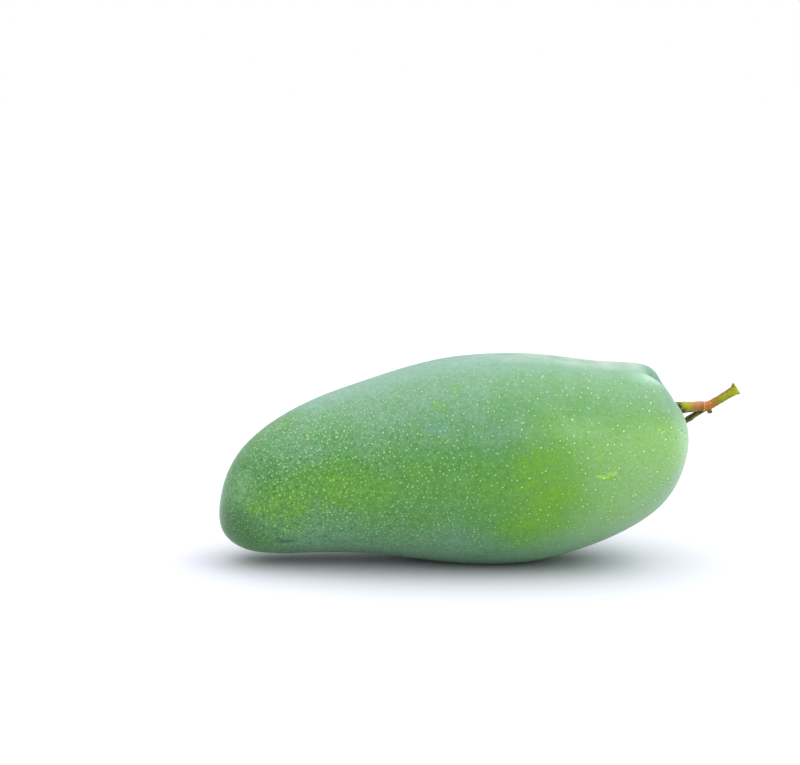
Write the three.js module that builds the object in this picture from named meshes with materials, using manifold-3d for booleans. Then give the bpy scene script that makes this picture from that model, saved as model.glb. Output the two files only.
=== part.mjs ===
// A green mango of the long, slender kind, picked with a short stalk and lying on its belly.
// Millimetres, +Z up. The tip points to -X and the stalk to +X. The origin is in the middle
// of the small flat that the fruit rests on.
import * as THREE from "three";
import { mergeVertices } from "three/addons/utils/BufferGeometryUtils.js";
import Module from "manifold-3d";

// Driving dimensions of the fruit
const FRUIT_LENGTH = 160;
const FRUIT_HEIGHT = 72;
const FRUIT_THICKNESS = 62;
const TIP_X = -90;

// The outline, as shares of the length and height, from the tip to the stalk's seat.
// Each station is a point on the back, one on the belly, and the share of the thickness there.
const TIP = [0.0, 0.245];
const SEAT = [0.997, 0.735];
const STATIONS = [
  { back: [0.018, 0.430], belly: [0.017, 0.115], thickness: 0.320 },
  { back: [0.068, 0.588], belly: [0.078, 0.045], thickness: 0.540 },
  { back: [0.173, 0.748], belly: [0.180, 0.041], thickness: 0.710 },
  { back: [0.330, 0.883], belly: [0.330, 0.038], thickness: 0.870 },
  { back: [0.510, 0.987], belly: [0.505, -0.005], thickness: 0.985 },
  { back: [0.700, 0.994], belly: [0.690, 0.010], thickness: 0.985 },
  { back: [0.830, 0.959], belly: [0.850, 0.132], thickness: 0.900 },
  { back: [0.923, 0.935], belly: [0.957, 0.302], thickness: 0.750 },
  { back: [0.958, 0.845], belly: [1.003, 0.540], thickness: 0.530 },
];

// How far the fruit departs from plain ovals
const BODY_SQUARENESS = 0.01;
const SHOULDER_SQUARENESS = 0.07;
const SHOULDER_LEAN = 0.7;
const SHOULDER_FROM = 0.70;
const SHOULDER_FULL = 0.92;
const CHEEK_DIFFERENCE = 0.03;
const SIDEWAYS_BOW = 1.5;

// The furrow between the two cheeks, and the pit around the stalk
const FURROW_DEPTH = 6;
const FURROW_HALF_WIDTH = 5;
const FURROW_WIDENING = 4;
const FURROW_SIDESTEP = -3;
const FURROW_ALONG = [0.885, 0.955];
const FURROW_UP = [0.68, 0.86];
const FURROW_POINT = 0.03;
const FURROW_ROUNDING = 0.08;
const PIT_DEPTH = 2;
const PIT_RADIUS = 6.5;

// The stalk: its middle line from inside the pit to the cut end, and its radius along it
const STALK_ROUTE = [
  [62.0, -1.4, 50.6],
  [64.6, -1.4, 52.6],
  [67.4, -1.3, 53.6],
  [71.0, -1.1, 53.9],
  [74.8, -0.8, 54.0],
  [77.4, -0.4, 54.1],
  [79.6, -0.1, 54.85],
  [82.2, 0.1, 56.4],
  [85.0, 0.2, 58.1],
  [88.0, 0.2, 59.95],
];
const STALK_PROFILE = [
  [0.00, 2.70],
  [0.11, 2.60],
  [0.20, 2.20],
  [0.28, 1.98],
  [0.37, 1.84],
  [0.46, 1.72],
  [0.50, 1.84],
  [0.54, 1.66],
  [0.62, 1.54],
  [0.72, 1.46],
  [0.82, 1.42],
  [0.90, 1.52],
  [0.96, 1.80],
  [1.00, 2.10],
];

// The broken stub under the stalk, and the side twig that hangs back past the far cheek
const STUB_ROUTE = [[77.9, -0.4, 54.0], [78.4, -0.5, 52.9], [78.9, -0.6, 51.75]];
const STUB_PROFILE = [[0.00, 0.90], [0.60, 0.82], [1.00, 0.88]];
const TWIG_ROUTE = [
  [75.9, -0.5, 53.4],
  [74.9, 0.9, 51.7],
  [72.8, 3.6, 49.2],
  [70.9, 6.2, 47.2],
  [70.4, 7.4, 46.2],
];
const TWIG_PROFILE = [[0.00, 1.20], [0.20, 1.00], [0.60, 0.95], [0.85, 0.93], [1.00, 1.02]];

// Facets and clearance
const RELAX_PASSES = 60;
const SKIN_AROUND = 60;
const SKIN_LENGTHWISE = 50;
const STALK_FACETS = { around: 16, lengthwise: 32 };
const TWIG_FACETS = { around: 10, lengthwise: 12 };
const TOUCH_GAP = 0.3;
const SLOPE_STEP = 0.001;
const POLE_MARGIN = 0.003;

const wasm = await Module();
wasm.setup();

// A closed cubic B-spline that passes through all of its points.
class SmoothLoop extends THREE.Curve {
  constructor(points) {
    super();
    this.points = points;
    this.handles = points.map((point) => point.clone());
    for (let pass = 0; pass < RELAX_PASSES; pass += 1) {
      this.handles = this.points.map((point, index) => this.relaxedHandle(point, index));
    }
  }

  handleAt(index) {
    const count = this.handles.length;
    return this.handles[((index % count) + count) % count];
  }

  relaxedHandle(point, index) {
    const neighbours = this.handleAt(index - 1).clone().add(this.handleAt(index + 1));
    return point.clone().multiplyScalar(6).sub(neighbours).divideScalar(4);
  }

  getPoint(share, target = new THREE.Vector3()) {
    const place = share * this.points.length;
    const first = Math.floor(place);
    const t = place - first;
    target.set(0, 0, 0);
    target.addScaledVector(this.handleAt(first - 1), (1 - t) ** 3 / 6);
    target.addScaledVector(this.handleAt(first), (3 * t ** 3 - 6 * t ** 2 + 4) / 6);
    target.addScaledVector(this.handleAt(first + 1), (-3 * t ** 3 + 3 * t ** 2 + 3 * t + 1) / 6);
    target.addScaledVector(this.handleAt(first + 2), t ** 3 / 6);
    return target;
  }
}

// A point of the outline, with half the thickness there as its Y.
function outlinePoint([along, up], thickness) {
  const x = TIP_X + along * FRUIT_LENGTH;
  return new THREE.Vector3(x, (thickness * FRUIT_THICKNESS) / 2, up * FRUIT_HEIGHT);
}

// The whole outline: out along the back, and home along the belly with the sides swapped.
function fruitOutline() {
  const backs = STATIONS.map((station) => outlinePoint(station.back, station.thickness));
  const bellies = STATIONS.map((station) => outlinePoint(station.belly, -station.thickness));
  return new SmoothLoop([outlinePoint(TIP, 0), ...backs, outlinePoint(SEAT, 0), ...bellies.reverse()]);
}

const outline = fruitOutline();

// Sideways place of the fruit's middle plane, which bows a little between its ends.
function middlePlaneY(x) {
  const fromMiddle = (2 * (x - TIP_X)) / FRUIT_LENGTH - 1;
  return -SIDEWAYS_BOW * fromMiddle ** 2;
}

// A point of the body before the furrow and pit. run goes from 0 at the tip to 1 at the seat,
// and turn is the angle around the body, from the back towards +Y.
function bodyPoint(run, turn) {
  const back = outline.getPoint(run / 2);
  const belly = outline.getPoint(1 - run / 2);
  const middle = back.clone().add(belly).multiplyScalar(0.5);
  const half = back.clone().sub(belly).multiplyScalar(0.5);
  const along = (middle.x - TIP_X) / FRUIT_LENGTH;
  const shoulder = THREE.MathUtils.smoothstep(along, SHOULDER_FROM, SHOULDER_FULL);
  const upper = (1 + Math.cos(turn)) / 2;
  const lean = 1 + SHOULDER_LEAN * Math.sin(turn);
  const squareness = BODY_SQUARENESS + SHOULDER_SQUARENESS * shoulder * upper * lean;
  const bulge = 1 + squareness * Math.sin(2 * turn) ** 2;
  const rise = Math.cos(turn) * bulge;
  const sideways = (Math.sin(turn) - CHEEK_DIFFERENCE * Math.sin(turn) ** 2) * bulge;
  const x = middle.x + half.x * rise;
  const y = half.y * sideways + middlePlaneY(x);
  return new THREE.Vector3(x, y, middle.z + half.z * rise);
}

// The direction that points out of the skin.
function outwardNormal(run, turn) {
  const place = THREE.MathUtils.clamp(run, POLE_MARGIN, 1 - POLE_MARGIN);
  const ahead = bodyPoint(place + SLOPE_STEP, turn).sub(bodyPoint(place - SLOPE_STEP, turn));
  const around = bodyPoint(place, turn + SLOPE_STEP).sub(bodyPoint(place, turn - SLOPE_STEP));
  return ahead.cross(around).normalize();
}

// How deep the skin sinks below the body's plain form.
function sinkDepth(point, seat) {
  const along = (point.x - TIP_X) / FRUIT_LENGTH;
  const up = point.z / FRUIT_HEIGHT;
  const halfWidth = FURROW_HALF_WIDTH * (1 + FURROW_WIDENING * Math.max(up - SEAT[1], 0));
  const fromMiddle = (point.y - middlePlaneY(point.x) - FURROW_SIDESTEP) / halfWidth;
  const lengthwise = THREE.MathUtils.smoothstep(along - FURROW_POINT * fromMiddle ** 2, ...FURROW_ALONG);
  const upwards = THREE.MathUtils.smoothstep(up - FURROW_ROUNDING * fromMiddle ** 2, ...FURROW_UP);
  const furrow = FURROW_DEPTH * lengthwise * upwards * Math.exp(-(fromMiddle ** 2));
  const fromSeat = point.distanceTo(seat) / PIT_RADIUS;
  return furrow + PIT_DEPTH * Math.exp(-(fromSeat ** 2));
}

// A point of the skin, moved outwards by grow. Every turn meets in one point at each end.
function skinPoint(run, turn, grow, seat) {
  const angle = run > 0 && run < 1 ? turn : 0;
  const point = bodyPoint(run, angle);
  return point.addScaledVector(outwardNormal(run, angle), grow - sinkDepth(point, seat));
}

// Turns a three.js geometry into a closed solid that can be cut and joined.
function solidOf(geometry) {
  const bare = geometry.clone();
  bare.deleteAttribute("normal");
  bare.deleteAttribute("uv");
  const merged = mergeVertices(bare);
  const vertProperties = new Float32Array(merged.attributes.position.array);
  const triVerts = new Uint32Array(merged.index.array);
  return new wasm.Manifold(new wasm.Mesh({ numProp: 3, vertProperties, triVerts }));
}

// Turns a solid back into a named mesh with its own material.
function meshOf(name, solid, material) {
  const data = solid.getMesh();
  const geometry = new THREE.BufferGeometry();
  geometry.setAttribute("position", new THREE.BufferAttribute(new Float32Array(data.vertProperties), 3));
  geometry.setIndex(new THREE.BufferAttribute(new Uint32Array(data.triVerts), 1));
  geometry.computeVertexNormals();
  const mesh = new THREE.Mesh(geometry, material);
  mesh.name = name;
  return mesh;
}

// The rounded body of the fruit, without its resting flat.
function fruitBody(grow) {
  const geometry = new THREE.SphereGeometry(1, SKIN_AROUND, SKIN_LENGTHWISE);
  const { position, uv } = geometry.attributes;
  const seat = outlinePoint(SEAT, 0);
  seat.y = middlePlaneY(seat.x);
  for (let index = 0; index < position.count; index += 1) {
    const run = 1 - uv.getY(index);
    const turn = uv.getX(index) * 2 * Math.PI;
    const point = skinPoint(run, turn, grow, seat);
    position.setXYZ(index, point.x, point.y, point.z);
  }
  return solidOf(geometry);
}

// The fruit, flattened a little where its weight rests.
function fruitSolid() {
  const slab = new THREE.BoxGeometry(2 * FRUIT_LENGTH, 2 * FRUIT_THICKNESS, FRUIT_HEIGHT);
  slab.translate(0, 0, -FRUIT_HEIGHT / 2);
  return fruitBody(0).subtract(solidOf(slab));
}

// A closed round rod along a route, with its radius given by a smooth profile.
function rodSolid(route, profile, facets) {
  const path = new THREE.CatmullRomCurve3(route.map((place) => new THREE.Vector3(...place)));
  const sides = new THREE.SplineCurve(profile.map(([share, radius]) => new THREE.Vector2(radius, share)));
  const points = sides.getPoints(facets.lengthwise);
  const geometry = new THREE.LatheGeometry(
    [new THREE.Vector2(0, 0), ...points, new THREE.Vector2(0, 1)],
    facets.around,
  );
  const { position } = geometry.attributes;
  const sideways = new THREE.Vector3(0, 1, 0);
  for (let index = 0; index < position.count; index += 1) {
    const share = THREE.MathUtils.clamp(position.getY(index), 0, 1);
    const ahead = path.getTangentAt(share);
    const rise = sideways.clone().cross(ahead).normalize();
    const across = ahead.clone().cross(rise);
    const point = path.getPointAt(share);
    point.addScaledVector(across, position.getX(index));
    point.addScaledVector(rise, position.getZ(index));
    position.setXYZ(index, point.x, point.y, point.z);
  }
  return solidOf(geometry);
}

// The stalk with its stub and side twig, cut to stand just clear of the fruit's skin.
function stalkSolid() {
  const stalk = rodSolid(STALK_ROUTE, STALK_PROFILE, STALK_FACETS);
  const stub = rodSolid(STUB_ROUTE, STUB_PROFILE, TWIG_FACETS);
  const twig = rodSolid(TWIG_ROUTE, TWIG_PROFILE, TWIG_FACETS);
  return stalk.add(stub).add(twig).subtract(fruitBody(TOUCH_GAP));
}

const skinMaterial = new THREE.MeshStandardMaterial({ color: 0x6fa763, roughness: 0.5, metalness: 0 });
const stalkMaterial = new THREE.MeshStandardMaterial({ color: 0x9a9a3c, roughness: 0.7, metalness: 0 });

const mango = new THREE.Group();
mango.add(meshOf("fruit", fruitSolid(), skinMaterial));
mango.add(meshOf("stem", stalkSolid(), stalkMaterial));

export default mango;
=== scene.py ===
import math
import bpy
import numpy as np
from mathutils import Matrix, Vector, noise


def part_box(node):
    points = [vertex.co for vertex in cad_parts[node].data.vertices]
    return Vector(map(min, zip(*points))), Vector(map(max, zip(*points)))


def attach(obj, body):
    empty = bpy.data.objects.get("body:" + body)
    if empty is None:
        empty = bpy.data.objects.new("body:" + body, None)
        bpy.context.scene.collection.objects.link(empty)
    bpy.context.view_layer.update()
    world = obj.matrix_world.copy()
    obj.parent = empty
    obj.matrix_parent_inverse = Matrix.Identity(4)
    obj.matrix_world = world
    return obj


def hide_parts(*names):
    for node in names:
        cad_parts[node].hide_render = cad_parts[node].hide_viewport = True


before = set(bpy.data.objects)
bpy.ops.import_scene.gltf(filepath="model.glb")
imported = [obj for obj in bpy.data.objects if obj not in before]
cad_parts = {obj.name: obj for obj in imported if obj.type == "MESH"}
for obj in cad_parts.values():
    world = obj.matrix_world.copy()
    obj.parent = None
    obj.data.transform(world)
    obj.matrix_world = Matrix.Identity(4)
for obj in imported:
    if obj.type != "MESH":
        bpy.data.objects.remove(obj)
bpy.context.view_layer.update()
mm = 0.001

print("camera")
viewSetup = {
    "target": (-27.6, 0.0, 62.2),     # mm
    "distance": 647.0,                # mm
    "elevation": 10.0,                # degrees above the floor
    "lens": 85.0,
    "sensor": 36.0,
}


def addObject(name, data):
    thing = bpy.data.objects.new(name, data)
    bpy.context.scene.collection.objects.link(thing)
    return thing


def aimAt(thing, target):
    thing.rotation_euler = (target - thing.location).to_track_quat("-Z", "Y").to_euler()


def makeCamera():
    camera = addObject("camera", bpy.data.cameras.new("camera"))
    lift = math.radians(viewSetup["elevation"])
    target = Vector(viewSetup["target"]) * mm
    camera.location = target + Vector((0, -math.cos(lift), math.sin(lift))) * viewSetup["distance"] * mm
    aimAt(camera, target)
    camera.data.lens = viewSetup["lens"]
    camera.data.sensor_width = viewSetup["sensor"]
    camera.data.clip_start = 0.01
    bpy.context.scene.camera = camera


makeCamera()


# small tools for building materials out of nodes; every size below is in millimetres
class Recipe:
    def __init__(self, name, colour, ramps):
        self.ramps = ramps
        self.material = bpy.data.materials.new(name)
        self.material.use_nodes = True
        self.material.diffuse_color = colour
        self.tree = self.material.node_tree
        self.shader = self.tree.nodes["Principled BSDF"]
        coordinates = self.tree.nodes.new("ShaderNodeTexCoord").outputs["Object"]
        self.place = self.stretch(coordinates, (1 / mm, 1 / mm, 1 / mm))
        self.x, self.y, self.z = self.split(self.place)

    def feed(self, socket, value):
        if isinstance(value, bpy.types.NodeSocket):
            self.tree.links.new(value, socket)
        else:
            socket.default_value = value

    def split(self, vector):
        node = self.tree.nodes.new("ShaderNodeSeparateXYZ")
        self.feed(node.inputs[0], vector)
        return node.outputs[0], node.outputs[1], node.outputs[2]

    def join(self, x, y, z):
        node = self.tree.nodes.new("ShaderNodeCombineXYZ")
        for socket, value in zip(node.inputs, (x, y, z)):
            self.feed(socket, value)
        return node.outputs[0]

    def vector(self, operation, a, b=(0.0, 0.0, 0.0)):
        node = self.tree.nodes.new("ShaderNodeVectorMath")
        node.operation = operation
        self.feed(node.inputs[0], a)
        self.feed(node.inputs[1], b)
        return node.outputs["Value"] if operation == "LENGTH" else node.outputs[0]

    def stretch(self, vector, factors):
        return self.vector("MULTIPLY", vector, factors)

    def sum(self, a, b):
        return self.calc("ADD", a, b)

    def calc(self, operation, a, b=0.0, clamp=False):
        node = self.tree.nodes.new("ShaderNodeMath")
        node.operation = operation
        node.use_clamp = clamp
        self.feed(node.inputs[0], a)
        self.feed(node.inputs[1], b)
        return node.outputs[0]

    def times(self, *values):
        result = values[0]
        for value in values[1:]:
            result = self.calc("MULTIPLY", result, value)
        return result

    def rise(self, value, low, high, bottom=0.0, top=1.0):  # eases from bottom at low to top at high
        node = self.tree.nodes.new("ShaderNodeMapRange")
        node.interpolation_type = "SMOOTHSTEP"
        for socket, number in zip(("Value", "From Min", "From Max", "To Min", "To Max"),
                                  (value, low, high, bottom, top)):
            self.feed(node.inputs[socket], number)
        return node.outputs["Result"]

    def ramp(self, value, name):  # one of the material's own named ramps
        return self.rise(value, *self.ramps[name])

    def mix(self, amount, a, b, blend="MIX"):
        node = self.tree.nodes.new("ShaderNodeMix")
        node.data_type = "RGBA"
        node.blend_type = blend
        self.feed(node.inputs[0], amount)
        inputs = [socket for socket in node.inputs if socket.type == "RGBA"]
        self.feed(inputs[0], a)
        self.feed(inputs[1], b)
        return [socket for socket in node.outputs if socket.type == "RGBA"][0]

    def grain(self, place, size, detail, roughness, seed):  # soft noise, 0.5 on average
        node = self.tree.nodes.new("ShaderNodeTexNoise")
        node.noise_dimensions = "4D"
        self.feed(node.inputs["Vector"], place)
        node.inputs["W"].default_value = seed
        node.inputs["Scale"].default_value = 1 / size
        node.inputs["Detail"].default_value = detail
        node.inputs["Roughness"].default_value = roughness
        return node.outputs["Fac"], node.outputs["Color"]

    def spot(self, place, centre, radii, edge):  # 1 inside an egg-shaped patch, fading to 0 at its edge
        offset = self.vector("SUBTRACT", place, centre)
        reach = self.vector("LENGTH", self.stretch(offset, tuple(1 / radius for radius in radii)))
        return self.rise(reach, 1.0, edge)

    def attribute(self, name):
        node = self.tree.nodes.new("ShaderNodeAttribute")
        node.attribute_name = name
        return node.outputs["Fac"]

    def map(self, name):
        node = self.tree.nodes.new("ShaderNodeUVMap")
        node.uv_map = name
        return node.outputs["UV"]

    def cells(self, place, size, flat=False):  # distance to the nearest cell's middle, and its three dice
        node = self.tree.nodes.new("ShaderNodeTexVoronoi")
        node.voronoi_dimensions = "2D" if flat else "3D"
        self.feed(node.inputs["Vector"], place)
        node.inputs["Scale"].default_value = 1 / size
        node.inputs["Randomness"].default_value = 1.0
        return self.times(node.outputs["Distance"], size), self.split(node.outputs["Color"])

    def swing(self, noiseValue, amount):  # noise turned into a shift either way
        return self.calc("MULTIPLY", self.calc("SUBTRACT", noiseValue, 0.5), amount)

    def dim(self, colour, shade):
        return self.vector("MULTIPLY", colour, self.join(shade, shade, shade))

    def emboss(self, height):
        bump = self.tree.nodes.new("ShaderNodeBump")
        self.feed(bump.inputs["Height"], height)
        bump.inputs["Distance"].default_value = mm
        self.feed(self.shader.inputs["Normal"], bump.outputs[0])

    def finish(self, piece):
        piece.data.materials.append(self.material)


def linear(code):  # "rrggbb" as seen on a screen, to the shader's own scale
    shades = [int(code[place:place + 2], 16) / 255 for place in (0, 2, 4)]
    scaled = [shade / 12.92 if shade <= 0.04045 else ((shade + 0.055) / 1.055) ** 2.4 for shade in shades]
    return (*scaled, 1.0)


def smoothStep(value, low, high):
    t = np.clip((value - low) / (high - low), 0.0, 1.0)
    return t * t * (3.0 - 2.0 * t)


print("fruit")
fruitForm = {
    "length": 160.0,
    "height": 72.0,
    "thickness": 62.0,
    "tipX": -90.0,
    "tip": (0.0, 0.245),
    "seat": (0.997, 0.735),           # where the stalk sits
    "stations": (                     # shares: back, belly, and how much of the thickness
        ((0.018, 0.430), (0.017, 0.115), 0.320),
        ((0.068, 0.588), (0.078, 0.045), 0.540),
        ((0.173, 0.748), (0.180, 0.041), 0.710),
        ((0.330, 0.883), (0.330, 0.038), 0.870),
        ((0.510, 0.987), (0.505, -0.005), 0.985),
        ((0.700, 0.994), (0.690, 0.010), 0.985),
        ((0.830, 0.959), (0.850, 0.132), 0.900),
        ((0.923, 0.935), (0.957, 0.302), 0.750),
        ((0.958, 0.845), (1.003, 0.540), 0.530),
    ),
    "bodySquareness": 0.01,
    "shoulderSquareness": 0.07,
    "shoulderLean": 0.7,              # the far cheek's shoulder is the squarer one
    "shoulder": (0.70, 0.92),
    "cheekDifference": 0.03,
    "sidewaysBow": 1.5,
    "furrowDepth": 6.0,
    "furrowHalfWidth": 5.0,
    "furrowWidening": 4.0,
    "furrowSidestep": -3.0,
    "furrowAlong": (0.885, 0.955),
    "furrowUp": (0.68, 0.86),
    "furrowPoint": 0.03,
    "furrowRounding": 0.08,
    "paintedCrestHighlight": (0.95, 0.40),            # the painted highlight on the furrow's near crest: its place and width, in half widths
    "paintedCrestHighlightAlong": (0.85, 0.93),
    "crestUp": (0.70, 0.88),
    "hollow": (1.0, 1.6),             # how far the painted shade in the furrow's hollow reaches each way, in half widths
    "paintedHollowShadeAlong": (0.885, 0.93),
    "pitDepth": 2.0,
    "pitRadius": 6.5,
    "collar": (3.4, 0.8, 0.35),       # ring of skin around the stalk: its radius, half width and height
    "around": 260,
    "lengthwise": 350,
    "swells": ((22.0, 0.22), (9.0, 0.07), (3.5, 0.018)),     # size and height of the skin's unevenness
    "swellSeed": 3.0,
    "dents": (                        # centre, size along and across, depth
        ((-67.5, -17.0, 9.5), (4.6, 1.9), 0.45),
        ((24.0, 27.0, 40.0), (5.0, 3.0), 0.35),
        ((-30.0, 20.0, 52.0), (3.0, 4.2), 0.25),
    ),
}


def outlinePoint(along, up, share):
    return (
        fruitForm["tipX"] + along * fruitForm["length"],
        share * fruitForm["thickness"] / 2,
        up * fruitForm["height"],
    )


def loopHandles():  # handles of a closed cubic B-spline through the whole outline
    stations = fruitForm["stations"]
    backs = [outlinePoint(*back, share) for back, belly, share in stations]
    bellies = [outlinePoint(*belly, -share) for back, belly, share in reversed(stations)]
    tip = outlinePoint(*fruitForm["tip"], 0)
    seat = outlinePoint(*fruitForm["seat"], 0)
    points = np.array([tip, *backs, seat, *bellies])
    row = np.eye(len(points))
    pull = (4 * row + np.roll(row, 1, 0) + np.roll(row, -1, 0)) / 6
    return np.linalg.solve(pull, points)


def loopPoint(handles, share):
    place = share * len(handles)
    first = np.floor(place).astype(int)
    t = (place - first)[:, None]
    weights = ((1 - t) ** 3, 3 * t ** 3 - 6 * t ** 2 + 4, -3 * t ** 3 + 3 * t ** 2 + 3 * t + 1, t ** 3)
    steps = enumerate(weights, start=-1)
    return sum(weight * handles[(first + step) % len(handles)] for step, weight in steps) / 6


def shares(points):  # how far along the fruit and how far up each point lies, 0 to 1
    return (points[:, 0] - fruitForm["tipX"]) / fruitForm["length"], points[:, 2] / fruitForm["height"]


def middlePlaneY(x):
    return -fruitForm["sidewaysBow"] * (2 * (x - fruitForm["tipX"]) / fruitForm["length"] - 1) ** 2


def bodyPoint(handles, run, turn):  # run goes from the tip to the seat, turn around from the back
    back = loopPoint(handles, run / 2)
    belly = loopPoint(handles, 1 - run / 2)
    middle = (back + belly) / 2
    half = (back - belly) / 2
    along = shares(middle)[0]
    upper = (1 + np.cos(turn)) / 2
    lean = 1 + fruitForm["shoulderLean"] * np.sin(turn)
    corner = fruitForm["shoulderSquareness"] * smoothStep(along, *fruitForm["shoulder"]) * upper * lean
    bulge = 1 + (fruitForm["bodySquareness"] + corner) * np.sin(2 * turn) ** 2
    rise = np.cos(turn) * bulge
    sideways = (np.sin(turn) - fruitForm["cheekDifference"] * np.sin(turn) ** 2) * bulge
    x = middle[:, 0] + half[:, 0] * rise
    y = half[:, 1] * sideways + middlePlaneY(x)
    return np.stack([x, y, middle[:, 2] + half[:, 2] * rise], 1)


def outwards(handles, run, turn):  # the skin's own direction at each point
    step, margin = 0.001, 0.003
    run = np.clip(run, margin, 1 - margin)
    ahead = bodyPoint(handles, run + step, turn) - bodyPoint(handles, run - step, turn)
    around = bodyPoint(handles, run, turn + step) - bodyPoint(handles, run, turn - step)
    normal = np.cross(ahead, around)
    return normal / np.linalg.norm(normal, axis=1)[:, None]


def seatPoint():
    x, y, z = outlinePoint(*fruitForm["seat"], 0)
    return np.array([x, middlePlaneY(x), z])


def acrossFurrow(points):  # 0 in the middle of the furrow, 1 a half width away from it
    above = np.maximum(shares(points)[1] - fruitForm["seat"][1], 0)
    halfWidth = fruitForm["furrowHalfWidth"] * (1 + fruitForm["furrowWidening"] * above)
    return (points[:, 1] - middlePlaneY(points[:, 0]) - fruitForm["furrowSidestep"]) / halfWidth


def furrowShare(points):  # 0 outside the furrow's length and height, 1 well inside them
    along, up = shares(points)
    aside = acrossFurrow(points) ** 2
    lengthwise = smoothStep(along - fruitForm["furrowPoint"] * aside, *fruitForm["furrowAlong"])
    return lengthwise * smoothStep(up - fruitForm["furrowRounding"] * aside, *fruitForm["furrowUp"])


def sinkDepth(points):  # the furrow between the cheeks, and the pit around the stalk
    furrow = fruitForm["furrowDepth"] * furrowShare(points) * np.exp(-acrossFurrow(points) ** 2)
    fromSeat = np.linalg.norm(points - seatPoint(), axis=1) / fruitForm["pitRadius"]
    return furrow + fruitForm["pitDepth"] * np.exp(-fromSeat ** 2)


def markFurrow(points):  # how far each point lies on the furrow's near crest and in its hollow: masks for a painted highlight and painted shade
    aside = acrossFurrow(points)
    along, up = shares(points)
    crestPlace, crestWidth = fruitForm["paintedCrestHighlight"]
    paintedCrestHighlight = np.exp(-((aside + crestPlace) / crestWidth) ** 2)
    paintedCrestHighlight *= smoothStep(along, *fruitForm["paintedCrestHighlightAlong"]) * smoothStep(up, *fruitForm["crestUp"])
    near, far = fruitForm["hollow"]
    hollow = smoothStep(aside, -near, 0.5 - near) * smoothStep(aside, far, 0.5 * far)
    hollow *= smoothStep(along, *fruitForm["paintedHollowShadeAlong"]) * smoothStep(up, *fruitForm["crestUp"])
    return paintedCrestHighlight, hollow


def unevenness(points, waves, seed):
    height = np.zeros(len(points))
    for order, (size, amount) in enumerate(waves):
        shift = Vector((seed + 31.7 * order, 12.3 * order, -7.9 * order))
        height += amount * np.array([noise.noise(Vector(point) / size + shift) for point in points])
    return height


def dentDepth(points):
    depth = np.zeros(len(points))
    for centre, (long, across), deep in fruitForm["dents"]:
        offset = (points - np.array(centre)) / (long, 2 * across, across)
        depth += deep * np.exp(-(offset ** 2).sum(1))
    return depth


def collarHeight(points):
    radius, halfWidth, tall = fruitForm["collar"]
    fromSeat = np.linalg.norm(points - seatPoint(), axis=1)
    return tall * np.exp(-((fromSeat - radius) / halfWidth) ** 2)


def evenRuns(handles, count):  # run values that space the rings evenly along the skin
    sampleCount = 4000
    fine = np.linspace(0, 1, sampleCount)
    total = np.zeros(sampleCount)
    for turn in (0, math.pi / 2, math.pi):
        steps = np.diff(bodyPoint(handles, fine, np.full(sampleCount, turn)), axis=0)
        total[1:] += np.cumsum(np.linalg.norm(steps, axis=1))
    return np.interp(np.linspace(0, total[-1], count), total, fine)


def fitToBox(points, low, high):  # so that the skin fills its CAD solid's box exactly
    ownLow, ownHigh = points.min(0), points.max(0)
    share = (points - ownLow) / (ownHigh - ownLow)
    return np.array(low) + share * (np.array(high) - np.array(low))


def addAttribute(mesh, name, values):
    mesh.attributes.new(name, "FLOAT", "POINT").data.foreach_set("value", values)


def netFaces(rows, around, first, start, end):  # a closed net around rows of points, with a tip at each end
    column = np.arange(around)
    beside = (column + 1) % around
    faces = [(start, first + one, first + other) for one, other in zip(column, beside)]
    for row in range(rows - 1):
        near, far = first + row * around, first + (row + 1) * around
        faces += zip(near + column, far + column, far + beside, near + beside)
    base = first + (rows - 1) * around
    faces += [(base + one, end, base + other) for one, other in zip(column, beside)]
    return [tuple(int(corner) for corner in face) for face in faces]


def makeFruit():
    around, rings = fruitForm["around"], fruitForm["lengthwise"]
    handles = loopHandles()
    runs = evenRuns(handles, rings + 1)
    turns = np.linspace(0, 2 * math.pi, around, endpoint=False)
    run = np.concatenate([[0.0], np.repeat(runs[1:-1], around), [1.0]])
    turn = np.concatenate([[0.0], np.tile(turns, rings - 1), [0.0]])
    plain = bodyPoint(handles, run, turn)
    height = unevenness(plain, fruitForm["swells"], fruitForm["swellSeed"])
    height = height - sinkDepth(plain) - dentDepth(plain) + collarHeight(plain)
    points = plain + outwards(handles, run, turn) * height[:, None]
    points[:, 2] = np.maximum(points[:, 2], 0)
    points = fitToBox(points, *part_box("fruit"))

    mesh = bpy.data.meshes.new("mangoFruit")
    mesh.from_pydata(points.tolist(), [], netFaces(rings - 1, around, 1, 0, len(points) - 1))
    wrapFruit(mesh, around, rings)
    layOutLenticels(mesh, points, around, rings)
    paintedCrestHighlight, hollow = markFurrow(plain)
    addAttribute(mesh, "girth", np.cos(turn))          # 1 along the back, 0 at the sides, -1 along the belly
    # mask for the painted highlight on the furrow's near crest
    addAttribute(mesh, "paintedCrestHighlight", paintedCrestHighlight)
    # mask for the painted shade in the furrow's hollow
    addAttribute(mesh, "hollow", hollow)
    mesh.shade_smooth()
    return addObject("mangoFruit", mesh)


def wrapFruit(mesh, around, rings):  # a seamless bake map: around the girth and along the fruit
    uvMap = mesh.uv_layers.new(name="OFBake")
    last = len(mesh.vertices) - 1
    for face in mesh.polygons:
        corners = list(face.loop_indices)
        vertices = [mesh.loops[corner].vertex_index for corner in corners]
        columns = [(vertex - 1) % around for vertex in vertices if 0 < vertex < last]
        wraps = max(columns) - min(columns) > 1
        seen = [column + around if wraps and column == 0 else column for column in columns]
        for corner, vertex in zip(corners, vertices):
            if 0 < vertex < last:
                ring = (vertex - 1) // around + 1
                column = (vertex - 1) % around
                column += around if wraps and column == 0 else 0
            else:
                ring = 0 if vertex == 0 else rings
                column = sum(seen) / len(seen)
            uvMap.data[corner].uv = (column / around, ring / rings)


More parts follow.
